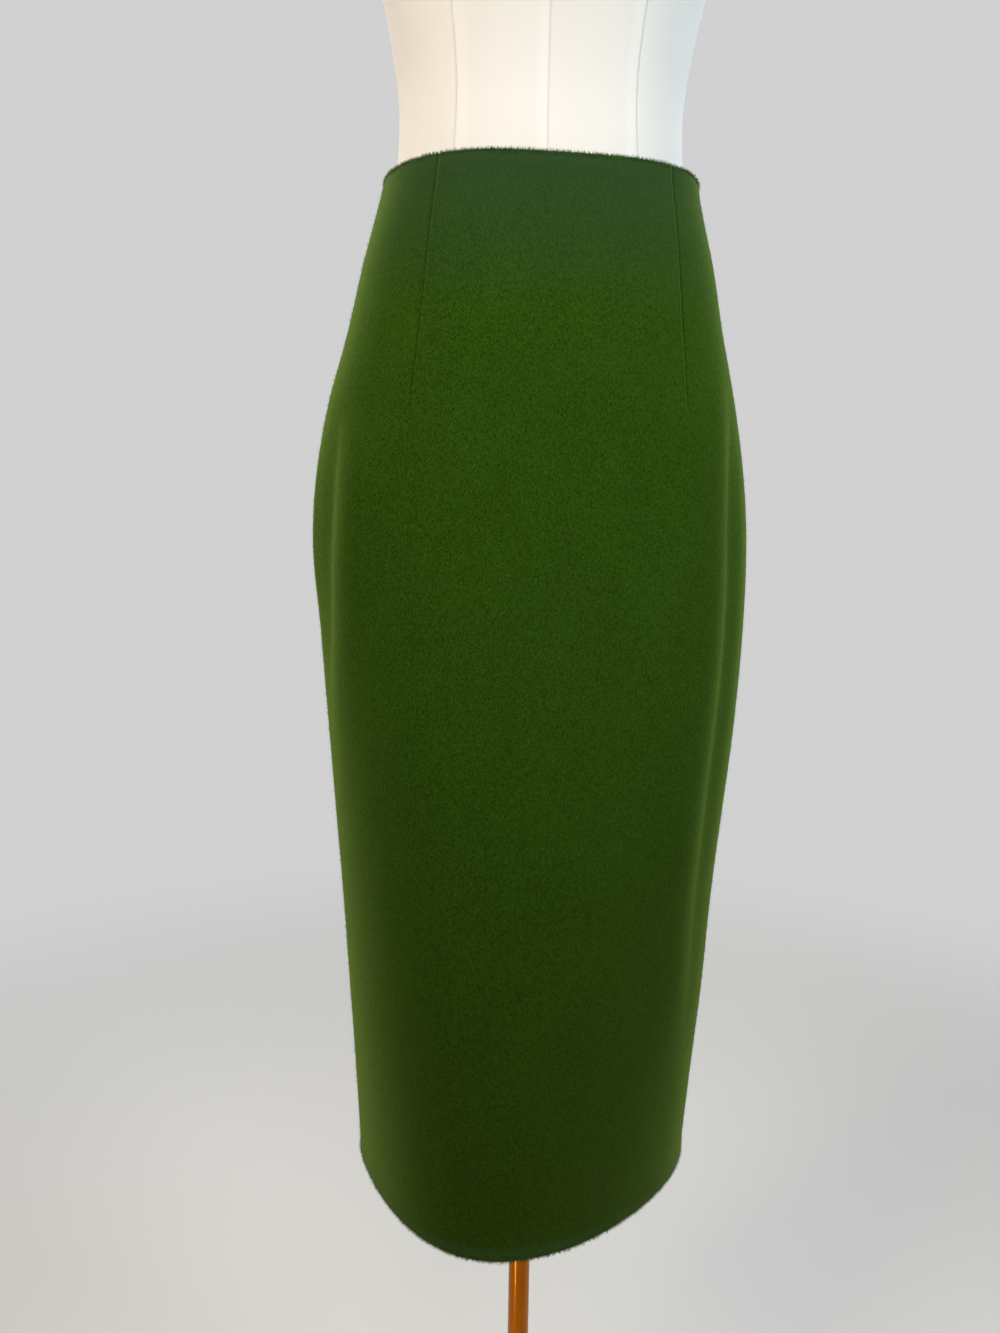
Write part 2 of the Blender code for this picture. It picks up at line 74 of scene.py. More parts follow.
# rise, half_width, front, back, flat, round, turn, skew, shift
SKIRT_RINGS = (
    (0.0000, 0.1435, 0.1480, 0.1340, 2.12, 1.50, 2.0, 0.0140, 0.0000),
    (0.0800, 0.1481, 0.1445, 0.1335, 2.20, 1.64, 2.2, 0.0120, 0.0005),
    (0.1600, 0.1533, 0.1405, 0.1325, 2.25, 1.80, 2.5, 0.0100, 0.0008),
    (0.2400, 0.1579, 0.1355, 0.1310, 2.30, 1.90, 2.8, 0.0080, 0.0007),
    (0.3200, 0.1643, 0.1290, 0.1290, 2.40, 2.00, 3.0, 0.0060, 0.0011),
    (0.4000, 0.1706, 0.1215, 0.1265, 2.50, 2.10, 3.2, 0.0050, 0.0012),
    (0.4700, 0.1746, 0.1150, 0.1235, 2.55, 2.20, 3.4, 0.0040, 0.0004),
    (0.5300, 0.1767, 0.1100, 0.1195, 2.60, 2.25, 3.6, 0.0035, -0.0020),
    (0.5850, 0.1732, 0.1055, 0.1130, 2.65, 2.25, 3.8, 0.0035, -0.0028),
    (0.6400, 0.1643, 0.1000, 0.1035, 2.70, 2.20, 4.0, 0.0035, -0.0022),
    (0.6950, 0.1503, 0.0935, 0.0925, 2.80, 2.15, 4.0, 0.0035, -0.0008),
    (0.7500, 0.1386, 0.0865, 0.0825, 2.90, 2.05, 4.0, 0.0035, 0.0004),
    (0.7900, 0.1280, 0.0820, 0.0765, 3.00, 2.00, 4.0, 0.0035, 0.0008),
    (0.8116, 0.1226, 0.0798, 0.0745, 3.00, 2.00, 4.0, 0.0035, 0.0014),
)

# panel, side, share of the quarter at the waist edge, share at the point, length
DARTS = (
    ("front", -1, 0.520, 0.465, 0.178),
    ("front", 1, 0.550, 0.485, 0.177),
    ("back", -1, 0.500, 0.450, 0.140),
    ("back", 1, 0.500, 0.450, 0.143),
)

# Soft ridges and troughs: side, place round the ring (0 centre front, 1 side seam,
# 2 centre back), lean of the place for each metre up, low end, high end, width, height.
FOLDS = (
    (1, 1.200, -0.10, 0.28, 0.60, 0.018, 0.0010),
    (-1, 1.170, -0.10, 0.22, 0.56, 0.016, 0.0011),
    (-1, 1.640, 0.05, 0.10, 0.42, 0.022, 0.0009),
    (1, 1.560, -0.05, 0.16, 0.50, 0.020, -0.0009),
    (-1, 0.300, 0.10, 0.05, 0.34, 0.034, 0.0005),
    (1, 0.180, -0.12, 0.12, 0.46, 0.040, -0.0006),
    (1, 0.420, 0.08, 0.30, 0.60, 0.030, 0.0005),
    (-1, 0.160, 0.05, 0.44, 0.74, 0.036, -0.0004),
)

# Creases where the cloth leaves the hips.  Each falls steeply on the side of the panel's
# middle and eases off towards the side seam: side, steep width, easy width, then rows of
# rise, place and depth.
CREASES = (
    (-1, 0.0125, 0.030, ((0.330, 0.860, 0.0), (0.413, 0.835, 0.0012), (0.458, 0.800, 0.0024),
                         (0.508, 0.768, 0.0036), (0.553, 0.752, 0.0042), (0.588, 0.752, 0.0034),
                         (0.640, 0.765, 0.0))),
    (1, 0.0120, 0.032, ((0.110, 0.640, 0.0), (0.200, 0.622, 0.0014), (0.290, 0.612, 0.0024),
                        (0.370, 0.625, 0.0031), (0.413, 0.638, 0.0034), (0.458, 0.648, 0.0036),
                        (0.508, 0.658, 0.0036), (0.553, 0.666, 0.0034), (0.593, 0.690, 0.0031),
                        (0.627, 0.725, 0.0022), (0.675, 0.760, 0.0))),
    (-1, 0.0140, 0.034, ((0.290, 1.250, 0.0), (0.400, 1.270, 0.0018), (0.500, 1.285, 0.0034),
                         (0.570, 1.275, 0.0026), (0.640, 1.260, 0.0))),
    (1, 0.0150, 0.030, ((0.150, 1.360, 0.0), (0.280, 1.345, 0.0016), (0.400, 1.330, 0.0030),
                        (0.510, 1.300, 0.0040), (0.580, 1.290, 0.0028), (0.650, 1.270, 0.0))),
)
# The cloth turns more sharply along the skirt's sides: side, place, low end, high end,
# width, height.
SIDE_TURNS = (
    (-1, 0.905, 0.40, 0.66, 0.0100, 0.0013),
    (1, 0.905, 0.22, 0.66, 0.0100, 0.0014),
    (-1, 1.100, 0.36, 0.62, 0.0110, 0.0011),
    (1, 1.110, 0.30, 0.66, 0.0110, 0.0011),
)

# Columns of half a panel, where 0 is its centre line, 0.5 its dart and 1 its side seam:
# start, end and how many steps.
DART_TO_SEAM = ((0.43, 0.486, 6), (0.486, 0.514, 18), (0.514, 0.57, 6), (0.57, 0.995, 34),
                (0.995, 1.0, 4))
HALF_COLUMNS = {"front": ((0.0, 0.43, 24), *DART_TO_SEAM),
                "back": ((0.0, 0.005, 4), (0.005, 0.43, 24), *DART_TO_SEAM)}

# ------------------------ sizes of the form and stand
# height, half_width, front, back, flat, round
FORM_RINGS = (
    (0.8000, 0.1480, 0.0840, 0.0930, 2.4, 2.1),
    (0.8050, 0.1535, 0.0890, 0.0980, 2.4, 2.1),
    (0.8200, 0.1580, 0.0925, 0.1030, 2.4, 2.1),
    (0.8700, 0.1625, 0.0965, 0.1085, 2.4, 2.1),
    (0.9450, 0.1665, 0.0988, 0.1120, 2.4, 2.1),
    (1.0100, 0.1610, 0.0951, 0.1045, 2.4, 2.1),
    (1.0700, 0.1480, 0.0888, 0.0920, 2.5, 2.1),
    (1.1300, 0.1325, 0.0828, 0.0810, 2.6, 2.0),
    (1.1850, 0.1205, 0.0760, 0.0720, 2.6, 2.0),
    (1.2316, 0.1128, 0.0726, 0.0680, 2.6, 2.0),
    (1.2850, 0.1103, 0.0708, 0.0660, 2.5, 2.0),
    (1.3400, 0.1180, 0.0775, 0.0700, 2.4, 2.0),
    (1.3900, 0.1290, 0.0905, 0.0770, 2.3, 2.0),
    (1.4500, 0.1385, 0.1040, 0.0850, 2.3, 2.0),
    (1.5100, 0.1470, 0.1000, 0.0910, 2.3, 2.0),
    (1.5700, 0.1585, 0.0845, 0.0880, 2.3, 2.0),
    (1.6080, 0.1600, 0.0700, 0.0790, 2.3, 2.0),
    (1.6360, 0.1370, 0.0610, 0.0690, 2.2, 2.0),
    (1.6570, 0.0990, 0.0540, 0.0600, 2.1, 2.0),
    (1.6780, 0.0680, 0.0500, 0.0550, 2.0, 2.0),
    (1.7100, 0.0570, 0.0480, 0.0520, 2.0, 2.0),
    (1.7400, 0.0555, 0.0475, 0.0510, 2.0, 2.0),
)
FORM_TOP = 1.74
FORM_BOTTOM = 0.80
FORM_SEAMS = (-1.54, -1.0, -0.46, 0.0, 0.455, 1.0, 1.54, 2.0)
FORM_SEAM_DEPTH, FORM_SEAM_WIDTH = 0.0003, 0.0009
ALLOWANCE, ALLOWANCE_RAISED = 0.010, 0.00018     # turned-in seam edges felt through the cover
POLE_RADIUS = 0.0095
BASE_RADIUS = 0.190
BASE_TOP = 0.010
GAP = 0.0003
MERGE = 0.00001         # points closer than this become one
FORM_QUARTER = 0.17     # about a quarter of the form's girth
# columns beside each of the form's seams
SEAM_COLUMNS = (-0.0125, -0.009, -0.0018, -0.0009, -0.0004, 0.0,
                0.0004, 0.0009, 0.0018, 0.009, 0.0125)

# ------------------------ sizes of the zip
TAPE_WIDTH = 0.024
TAPE_THICK = 0.0008
TAPE_LENGTH = 0.205
TAPE_LIFT = 0.0009
SLIDER_DROP = 0.010
PIVOT_OUT = 0.0022


# ------------------------ the skirt's surface
def sample(table, key):
    """One row of a table at the given key, by a cubic through its rows."""
    table = np.array(table, dtype=float)
    keys = table[:, 0]
    slopes = np.gradient(table, keys, axis=0)
    i = int(np.clip(np.searchsorted(keys, key) - 1, 0, len(keys) - 2))
    step = keys[i + 1] - keys[i]
    t = min(max((key - keys[i]) / step, 0.0), 1.0)
    return ((2 * t**3 - 3 * t**2 + 1) * table[i] + (t**3 - 2 * t**2 + t) * step * slopes[i]
            + (3 * t**2 - 2 * t**3) * table[i + 1] + (t**3 - t**2) * step * slopes[i + 1])


def bump(distance, width):
    """A soft swell, 1 at its middle and nearly 0 one and a half widths away."""
    return np.exp(-((distance / width) ** 2) * 2)


def fade(value, low, high):
    """0 below low and 1 above high, smooth between."""
    t = np.clip((value - low) / (high - low), 0, 1)
    return t * t * (3 - 2 * t)


def quarter(half_width, depth, flat, round_):
    """A quarter ring from its centre line to its side, with the length run so far."""
    t = np.linspace(0, pi / 2, 181)
    x = half_width * np.sin(t) ** (2 / flat)
    y = depth * np.maximum(np.cos(t), 0) ** (2 / round_)
    run = np.concatenate([[0], np.cumsum(np.hypot(np.diff(x), np.diff(y)))])
    return x, y, run


def on_ring(shape, places):
    """Points of a ring (half_width, front, back, flat, round) and their quarters' lengths."""
    half_width, front, back, flat, round_ = shape
    side = np.where(places < 0, -1.0, 1.0)
    share = np.abs(places)
    points, lengths = np.zeros((len(places), 2)), np.zeros(len(places))
    for rear, depth in ((False, front), (True, back)):
        here = (share > 1) == rear
        x, y, run = quarter(half_width, depth, flat, round_)
        at = run[-1] * (2 - share[here] if rear else share[here])
        points[here, 0] = side[here] * np.interp(at, run, x)
        points[here, 1] = np.interp(at, run, y) * (1 if rear else -1)
        lengths[here] = run[-1]
    return points, lengths


def ring_points(rise, places):
    """Plain ring points at this rise for an array of places, with each one's quarter length."""
    row = sample(SKIRT_RINGS, rise)
    places = (np.asarray(places) + 2) % 4 - 2
    points, lengths = on_ring(row[1:6], places)
    turn, skew, shift = radians(row[6]), row[7], row[8]
    swing = skew * 2.6 * np.sin(places * pi / 2) * np.cos(places * pi / 2) ** 2
    points[:, 1] += np.where(np.abs(places) > 1, 0.0, swing)
    x = points[:, 0] * cos(turn) - points[:, 1] * sin(turn) + shift
    y = points[:, 0] * sin(turn) + points[:, 1] * cos(turn)
    lean = x * WAIST_TILT * fade(rise, 0.4, LENGTH)
    return np.stack([x, y, HEM_Z + rise + lean], 1), lengths


def crease_section(off, steep, easy):
    """Depth across a crease at off from its bottom line, positive towards the side seam.

    The cloth swells before it falls, so the crease has a soft ridge beside it."""
    fall = np.exp(-(np.sqrt(off**2 + CREASE_CUSP**2) - CREASE_CUSP) / (0.8 * steep))
    swell = 0.9 * bump(off + 2.2 * steep, 2.7 * steep)
    return np.where(off < 0, fall, bump(off, easy)) - swell


def dart_place(dart, rise):
    """Signed place of a dart's line on the ring at this rise, held below its point."""
    panel, side, at_waist, at_point, length = dart
    down = min((LENGTH - rise) / length, 1.0)
    share = at_waist + (at_point - at_waist) * down
    return side * (share if panel == "front" else 2 - share)


def dart_offsets(rise, places, lengths):
    """For each dart, metres from its line, positive towards the side seam, and its strength."""
    for dart in DARTS:
        outwards = dart[1] * (1 if dart[0] == "front" else -1)
        off = (places - dart_place(dart, rise)) * lengths * outwards
        point = LENGTH - dart[4]
        yield off, fade(rise, point + DART_FADE[0], point + DART_FADE[1])


def relief(rise, places, lengths):
    """How far the cloth stands out from its plain ring."""
    out = np.zeros(len(places))
    for off, sunk in dart_offsets(rise, places, lengths):
        out -= DART_HOLLOW * bump(off, DART_HOLLOW_WIDTH) * sunk
        out -= DART_LINE * bump(off, DART_LINE_WIDTH) * sunk
        out += DART_ROLL * bump(off + 0.0021, DART_ROLL_WIDTH) * sunk
    for seam in (-2, -1, 1, 2):
        out -= SEAM_DEPTH * bump((places - seam) * lengths, SEAM_WIDTH)
    for side, where, lean, low, high, width, height in FOLDS:
        off = (places - side * (where + lean * (rise - 0.5))) * lengths
        ends = fade(rise, low, low + 0.12) * (1 - fade(rise, high - 0.08, high))
        out += height * bump(off, width) * ends
    for side, steep, easy, rows in CREASES:
        if rows[0][0] < rise < rows[-1][0]:
            _, where, depth = sample(rows, rise)
            off = (places * side - where) * lengths * (1 if where < 1 else -1)
            out -= max(depth, 0) * crease_section(off, steep, easy)
    for side, where, low, high, width, height in SIDE_TURNS:
        ends = fade(rise, low, low + 0.14) * (1 - fade(rise, high - 0.12, high))
        out += height * bump((places - side * where) * lengths, width) * ends
    for edge in (0.0, LENGTH):
        out += EDGE_TURN * bump(abs(rise - edge) - EDGE_WIDTH / 2, EDGE_WIDTH / 2)
    waves = np.sin(places * 7.1 + rise * 9.0) * np.sin(rise * 21.0 - places * 2.3)
    return out + SLACK * waves * fade(rise, 0.0, 0.05) * fade(LENGTH - rise, 0.0, 0.10)


def cloth_grid(rises, place_rows):
    """Outside points and outward normals for a row of places at each rise."""
    def outside(rise, places):
        plain, lengths = ring_points(rise, places)
        ahead, _ = ring_points(rise, places + 0.004)
        before, _ = ring_points(rise, places - 0.004)
        out = np.stack([(ahead - before)[:, 1], -(ahead - before)[:, 0]], 1)
        out /= np.linalg.norm(out, axis=1)[:, None]
        plain[:, :2] += out * relief(rise, places, lengths)[:, None]
        return plain

    points, normals = [], []
    for rise, places in zip(rises, place_rows):
        points.append(outside(rise, places))
        across = outside(rise, places + 0.006) - outside(rise, places - 0.006)
        low, high = max(rise - 0.003, 0.0), min(rise + 0.003, LENGTH)
        normal = np.cross(across, outside(high, places) - outside(low, places))
        normals.append(normal / np.linalg.norm(normal, axis=1)[:, None])
    return np.array(points), np.array(normals)


def slit_gap(rise):
    """Half the space between the two back panels at the centre back."""
    return SEAM_GAP / 2 + SLIT_SPREAD / 2 * (1 - fade(rise, 0.0, SLIT_RISE)) ** 1.5


def half_places(panel, side, rise, shares):
    """Signed places of half a panel's columns at this rise, centre line first."""
    dart = next(d for d in DARTS if d[0] == panel and d[1] == side)
    _, length = ring_points(rise, np.array([0.5 if panel == "front" else 1.5]))
    at_dart = abs(dart_place(dart, rise))
    at_side = 1 - SEAM_GAP / 2 / length[0]
    if panel == "front":
        return side * np.interp(shares, (0, 0.5, 1), (0, at_dart, at_side))
    at_centre = 2 - slit_gap(rise) / length[0]
    return side * np.interp(shares, (0, 0.5, 1), (at_centre, at_dart, 2 - at_side))


def half_shares(panel):
    thin = 1
    shares = [0.0]
    for low, high, count in HALF_COLUMNS[panel]:
        shares += list(np.linspace(low, high, max(count // thin, 2) + 1)[1:])
    return np.array(shares)


def panel_rises():
    step = 0.005
    edge = [0.0, 0.0004, 0.0010, 0.0018, 0.003, 0.005, 0.0075, 0.010, 0.013, 0.017]
    middle = list(np.arange(0.021, LENGTH - 0.021, step))
    return np.array(edge + middle + [LENGTH - e for e in edge[::-1]])


# ------------------------ meshes
def link(obj):
    bpy.context.scene.collection.objects.link(obj)
    return obj


def mesh_object(name, points, faces, material, uvs=None, marks=None, smooth_angle=50):
    """A closed piece from computed points; marks are values that its material reads."""
    mesh = bpy.data.meshes.new(name)
    mesh.from_pydata([tuple(map(float, p)) for p in points], [],
                     [tuple(map(int, face)) for face in faces])
    if uvs is not None:
        layer = mesh.uv_layers.new(name="UVMap")
        corners = np.zeros(len(mesh.loops), dtype=np.int32)
        mesh.loops.foreach_get("vertex_index", corners)
        layer.data.foreach_set("uv", np.asarray(uvs, dtype=np.float32)[corners].ravel())
    for label, values in (marks or {}).items():
        mesh.attributes.new(label, "FLOAT", "POINT").data.foreach_set(
            "value", np.asarray(values, dtype=np.float32).ravel())
    turn_outwards(mesh)
    mesh.materials.append(material)
    smooth(mesh, smooth_angle)
    return link(bpy.data.objects.new(name, mesh))


def smooth(mesh, angle=40):
    mesh.shade_smooth()
    mesh.set_sharp_from_angle(angle=radians(angle))


def turn_outwards(mesh, merge=0.0):
    work = bmesh.new()
    work.from_mesh(mesh)
    if merge:
        bmesh.ops.remove_doubles(work, verts=work.verts, dist=merge)
    bmesh.ops.recalc_face_normals(work, faces=work.faces)
    work.to_mesh(mesh)
    work.free()


def wall_between(outer, inner):
    """Points and faces of a closed wall between two grids of rows and columns."""
    rows, columns = outer.shape[:2]
    section = np.concatenate([outer, inner[::-1]], 0)
    index = np.arange(2 * rows * columns).reshape(2 * rows, columns)
    after = np.roll(index, -1, axis=0)
    faces = np.stack([index[:, :-1], index[:, 1:], after[:, 1:], after[:, :-1]], -1).reshape(-1, 4)
    ends = [(index[r, i], index[r + 1, i], index[2 * rows - 2 - r, i], index[2 * rows - 1 - r, i])
            for i in (0, columns - 1) for r in range(rows - 1)]
    return section.reshape(-1, 3), list(faces) + ends


def ring_faces(rings, count):
    """Faces between rings of points that lie one above the other, closed at both ends."""
    faces = [(i * count + j, i * count + (j + 1) % count, (i + 1) * count + (j + 1) % count,
              (i + 1) * count + j) for i in range(rings - 1) for j in range(count)]
    return faces + [tuple(range(count)), tuple(range((rings - 1) * count, rings * count))]


def cloth_marks(rises, place_rows):
    """Masks over the panel's outside: painted shade along the seam and dart lines, a painted
    highlight along the turned edges, and fluff.
    """
    line, edge_highlight, fluff = [], [], []
    for rise, places in zip(rises, place_rows):
        _, lengths = ring_points(rise, places)
        ends = np.minimum(np.abs(places - places[0]), np.abs(places - places[-1])) * lengths
        # painted shade: a dark line along the panel's sewn sides and down each dart
        dark = bump(ends, 0.0011)
        for off, sunk in dart_offsets(rise, places, lengths):
            dark = np.maximum(dark, bump(off - 0.0002, 0.0012) * sunk)
        line.append(dark)
        # painted highlight: a lighter band along the ridge of the turned hem, weaker at the waist
        # edge
        edge_highlight.append(np.full(len(places), bump(rise - 0.0065, 0.0055)
                               + 0.7 * bump(LENGTH - rise - 0.0065, 0.0060)))
        near = min(rise, LENGTH - rise)
        fluff.append(bump(near, 0.0028) + 0.25 * bump(ends, 0.0015))
    return np.array(line), np.array(edge_highlight), np.array(fluff)


def cloth_panel(name, rises, place_rows, material):
    """A panel of cloth with softly rounded edges, closed all round.

    Its UV map holds metres: across from the centre line, and up from the hem."""
    points, normals = cloth_grid(rises, place_rows)
    columns = points.shape[1]
    _, length = ring_points(0.5, np.array([0.5]))
    across = np.array(place_rows) * length[0]
    up = np.repeat(rises[:, None], columns, 1)
    ends = np.minimum(np.abs(across - across[:, :1]), np.abs(across - across[:, -1:]))
    edge = 0.95 * np.clip(1 - np.minimum(up, LENGTH - up) / ROUND_EDGE, 0, 1)
    seam = 0.90 * np.clip(1 - ends / ROUND_SEAM, 0, 1)
    lift = CLOTH / 2 * (1 - np.sqrt(np.clip(1 - edge**2 - seam**2, 0.05, 1)))[..., None]
    section, faces = wall_between(points - normals * lift, points - normals * (CLOTH - lift))
    uv = np.stack([across, up], -1)
    line, edge_highlight, fluff = cloth_marks(rises, place_rows)
    inside = np.zeros_like(line)
    marks = {"line": np.concatenate([line, inside]), "edge_highlight": np.concatenate([edge_highlight, inside]),
             "face": np.concatenate([inside + 1, inside]),
             "edge": np.concatenate([fluff, fluff[::-1]])}
    return mesh_object(name, section, faces, material,
                       np.concatenate([uv, uv[::-1]], 0).reshape(-1, 2), marks)


def turned(name, profile, steps, material, closed=False):
    """A profile of (radius, height) points turned about the pole's axis."""
    count = len(profile)
    angles = [2 * pi * i / steps for i in range(steps)]
    points = [(r * cos(a), r * sin(a), z) for a in angles for r, z in profile]
    spans = count if closed else count - 1
    faces = []
    for i in range(steps):
        for j in range(spans):
            here, above = i * count, (i + 1) % steps * count
            faces.append((here + j, here + (j + 1) % count, above + (j + 1) % count, above + j))
    piece = mesh_object(name, points, faces, material)
    turn_outwards(piece.data, merge=MERGE)
    smooth(piece.data)
    return piece


def eased(corners, radius=0.0008, steps=4):
    """The corners of a (radius, height) outline, each rounded off."""
    made = []
    count = len(corners)
    for i, corner in enumerate(corners):
        if corner[0] == 0:
            made.append(corner)
            continue
        corner = np.array(corner)
        before = np.array(corners[i - 1]) - corner
        after = np.array(corners[(i + 1) % count]) - corner
        reach = min(radius, np.linalg.norm(before) * 0.45, np.linalg.norm(after) * 0.45)
        start = corner + before / np.linalg.norm(before) * reach
        end = corner + after / np.linalg.norm(after) * reach
        for t in np.linspace(0, 1, steps + 1):
            made.append(tuple((1 - t) ** 2 * start + 2 * t * (1 - t) * corner + t * t * end))
    return made


def flat_piece(name, loops, thick, soft, place, material):
    """A plate from flat outlines, the first one outside and the rest holes, with soft edges."""
    curve = bpy.data.curves.new(name, "CURVE")
    curve.dimensions = "2D"
    curve.fill_mode = "BOTH"
    curve.extrude = thick / 2 - soft
    curve.bevel_depth = soft
    curve.bevel_resolution = 2
    curve.offset = -soft
    for loop in loops:
        spline = curve.splines.new("POLY")
        spline.points.add(len(loop) - 1)
        spline.use_cyclic_u = True
        for point, (x, y) in zip(spline.points, loop):
            point.co = (x, y, 0, 1)
    made = link(bpy.data.objects.new(name, curve))
    mesh = evaluated_mesh(made)
    bpy.data.objects.remove(made)
    mesh.transform(place)
    turn_outwards(mesh, merge=MERGE)
    mesh.name = name
    mesh.materials.clear()
    mesh.materials.append(material)
    smooth(mesh)
    return link(bpy.data.objects.new(name, mesh))


def evaluated_mesh(obj):
    """A plain mesh of the object as its modifiers leave it."""
    bpy.context.view_layer.update()
    graph = bpy.context.evaluated_depsgraph_get()
    return bpy.data.meshes.new_from_object(obj.evaluated_get(graph), preserve_all_data_layers=True,
                                           depsgraph=graph)


# ------------------------ Geometry Nodes: loose fibres
FIBRE_INPUTS = {"Geometry": "Geometry", "Where": "String", "Density": "Float", "Length": "Float",
                "Thickness": "Float", "Hang": "Float", "Stray": "Float", "Seed": "Int",
                "Material": "Material"}
FIBRE_SIZES = (0.35, 1.3)       # shortest and longest against the given length
# short fibres brushed down the face, and tufts that stand out of the waist edge and hem
NAP = {"Where": "face", "Density": 84000.0, "Length": 0.0026,
       "Thickness": 0.00007, "Hang": 1.5, "Stray": 1.1}
EDGE_FUZZ = {"Where": "edge", "Density": 2.8e6, "Length": 0.0024,
             "Thickness": 0.00020, "Hang": 0.0, "Stray": 0.60}
NAP_SEED, FUZZ_SEED = 11, 31


def loose_fibre_tree():
    """Short tapered fibres that stand off the cloth where the named mark is high."""
    tree = bpy.data.node_groups.new("loose_fibres", "GeometryNodeTree")
    for label, kind in FIBRE_INPUTS.items():
        tree.interface.new_socket(label, in_out="INPUT", socket_type="NodeSocket" + kind)
    tree.interface.new_socket("Geometry", in_out="OUTPUT", socket_type="NodeSocketGeometry")
    nodes, join = tree.nodes, tree.links.new
    given, put = nodes.new("NodeGroupInput"), nodes.new("NodeGroupOutput")
    fluff = nodes.new("GeometryNodeInputNamedAttribute")
    fluff.data_type = "FLOAT"
    join(given.outputs["Where"], fluff.inputs["Name"])
    density = math_node(tree, "MULTIPLY", fluff.outputs["Attribute"], given.outputs["Density"])
    scatter = nodes.new("GeometryNodeDistributePointsOnFaces")
    join(given.outputs["Geometry"], scatter.inputs["Mesh"])
    join(density, scatter.inputs["Density"])
    join(given.outputs["Seed"], scatter.inputs["Seed"])
    # each fibre leans down the skirt and strays a little to any side
    hang = nodes.new("ShaderNodeCombineXYZ")
    join(math_node(tree, "MULTIPLY", given.outputs["Hang"], -1.0), hang.inputs["Z"])
    stray = nodes.new("FunctionNodeRandomValue")
    stray.data_type = "FLOAT_VECTOR"
    stray.inputs["Min"].default_value = (-1, -1, -1)
    stray.inputs["Max"].default_value = (1, 1, 1)
    join(given.outputs["Seed"], stray.inputs["Seed"])
    strayed = nodes.new("ShaderNodeVectorMath")
    strayed.operation = "SCALE"
    join(stray.outputs[0], strayed.inputs[0])
    join(given.outputs["Stray"], strayed.inputs["Scale"])
    towards = scatter.outputs["Normal"]
    for part in (hang.outputs[0], strayed.outputs[0]):
        added = nodes.new("ShaderNodeVectorMath")
        join(towards, added.inputs[0])
        join(part, added.inputs[1])
        towards = added.outputs[0]
    turn = nodes.new("FunctionNodeAlignRotationToVector")
    turn.axis = "Z"
    join(towards, turn.inputs["Vector"])
    fibre = nodes.new("GeometryNodeMeshCone")
    fibre.inputs["Vertices"].default_value = 3
    fibre.inputs["Radius Top"].default_value = 0.0
    join(given.outputs["Thickness"], fibre.inputs["Radius Bottom"])
    join(given.outputs["Length"], fibre.inputs["Depth"])
    size = nodes.new("FunctionNodeRandomValue")
    size.data_type = "FLOAT"
    ends = [s for s in size.inputs if s.enabled and s.name in ("Min", "Max")]
    for end, value in zip(ends, FIBRE_SIZES):
        end.default_value = value
    plant = nodes.new("GeometryNodeInstanceOnPoints")
    join(scatter.outputs["Points"], plant.inputs["Points"])
    join(fibre.outputs["Mesh"], plant.inputs["Instance"])
    join(turn.outputs[0], plant.inputs["Rotation"])
    join([s for s in size.outputs if s.enabled][0], plant.inputs["Scale"])
    real = nodes.new("GeometryNodeRealizeInstances")
    dress = nodes.new("GeometryNodeSetMaterial")
    join(plant.outputs[0], real.inputs[0])
    join(real.outputs[0], dress.inputs["Geometry"])
    join(given.outputs["Material"], dress.inputs["Material"])
    join(dress.outputs[0], put.inputs[0])
    return tree


def grow(name, ground, tree, **values):
    """A piece of what the tree grows on the ground piece, as a plain mesh."""
    bed = link(bpy.data.objects.new(name + "_bed", ground.data.copy()))
    modifier = bed.modifiers.new("grown", "NODES")
    modifier.node_group = tree
    for item in tree.interface.items_tree:
        if item.in_out == "INPUT" and item.name in values:
            modifier[item.identifier] = values[item.name]
    mesh = evaluated_mesh(bed)
    bed.modifiers.clear()
    bpy.data.objects.remove(bed)
    mesh.name = name
    return link(bpy.data.objects.new(name, mesh))


# ------------------------ shader node groups
def new_group(name, inputs, outputs):
    group = bpy.data.node_groups.new(name, "ShaderNodeTree")
    for label, value in inputs:
        socket = group.interface.new_socket(label, in_out="INPUT", socket_type="NodeSocketFloat")
        socket.default_value = value
    for label in outputs:
        group.interface.new_socket(label, in_out="OUTPUT", socket_type="NodeSocketFloat")
    return group, group.nodes.new("NodeGroupInput"), group.nodes.new("NodeGroupOutput")


def math_node(tree, operation, a, b=None, c=None, clamp=False):
    node = tree.nodes.new("ShaderNodeMath")
    node.operation = operation
    node.use_clamp = clamp
    for slot, value in zip(node.inputs, (a, b, c)):
        if isinstance(value, (int, float)):
            slot.default_value = value
        elif value is not None:
            tree.links.new(value, slot)
    return node.outputs[0]


def noise_node(tree, vector, scale, detail=2.0, roughness=0.5, stretch=(1, 1, 1)):
    mapping = tree.nodes.new("ShaderNodeMapping")
    mapping.inputs["Scale"].default_value = stretch
    tree.links.new(vector, mapping.inputs["Vector"])
    noise = tree.nodes.new("ShaderNodeTexNoise")
    noise.inputs["Detail"].default_value = detail
    noise.inputs["Roughness"].default_value = roughness
    if isinstance(scale, (int, float)):
        noise.inputs["Scale"].default_value = scale
    else:
        tree.links.new(scale, noise.inputs["Scale"])
    tree.links.new(mapping.outputs[0], noise.inputs["Vector"])
    return noise.outputs["Fac"]


def ramp_node(tree, value, low, high, to_low=0.0, to_high=1.0, easing="LINEAR"):
    node = tree.nodes.new("ShaderNodeMapRange")
    node.interpolation_type = easing
    numbers = {"From Min": low, "From Max": high, "To Min": to_low, "To Max": to_high}
    for label, number in numbers.items():
        node.inputs[label].default_value = number
    tree.links.new(value, node.inputs["Value"])
    return node.outputs["Result"]


def mix_colour(tree, factor, a, b, blend="MIX"):
    node = tree.nodes.new("ShaderNodeMix")
    node.data_type = "RGBA"
    node.blend_type = blend
    for slot, value in zip([s for s in node.inputs if s.enabled], (factor, a, b)):
        if isinstance(value, (int, float)):
            slot.default_value = value
        elif isinstance(value, tuple):
            slot.default_value = (*value, 1.0)
        else:
            tree.links.new(value, slot)
    return node.outputs["Result"]


def object_place(tree):
    return tree.nodes.new("ShaderNodeTexCoord").outputs["Object"]


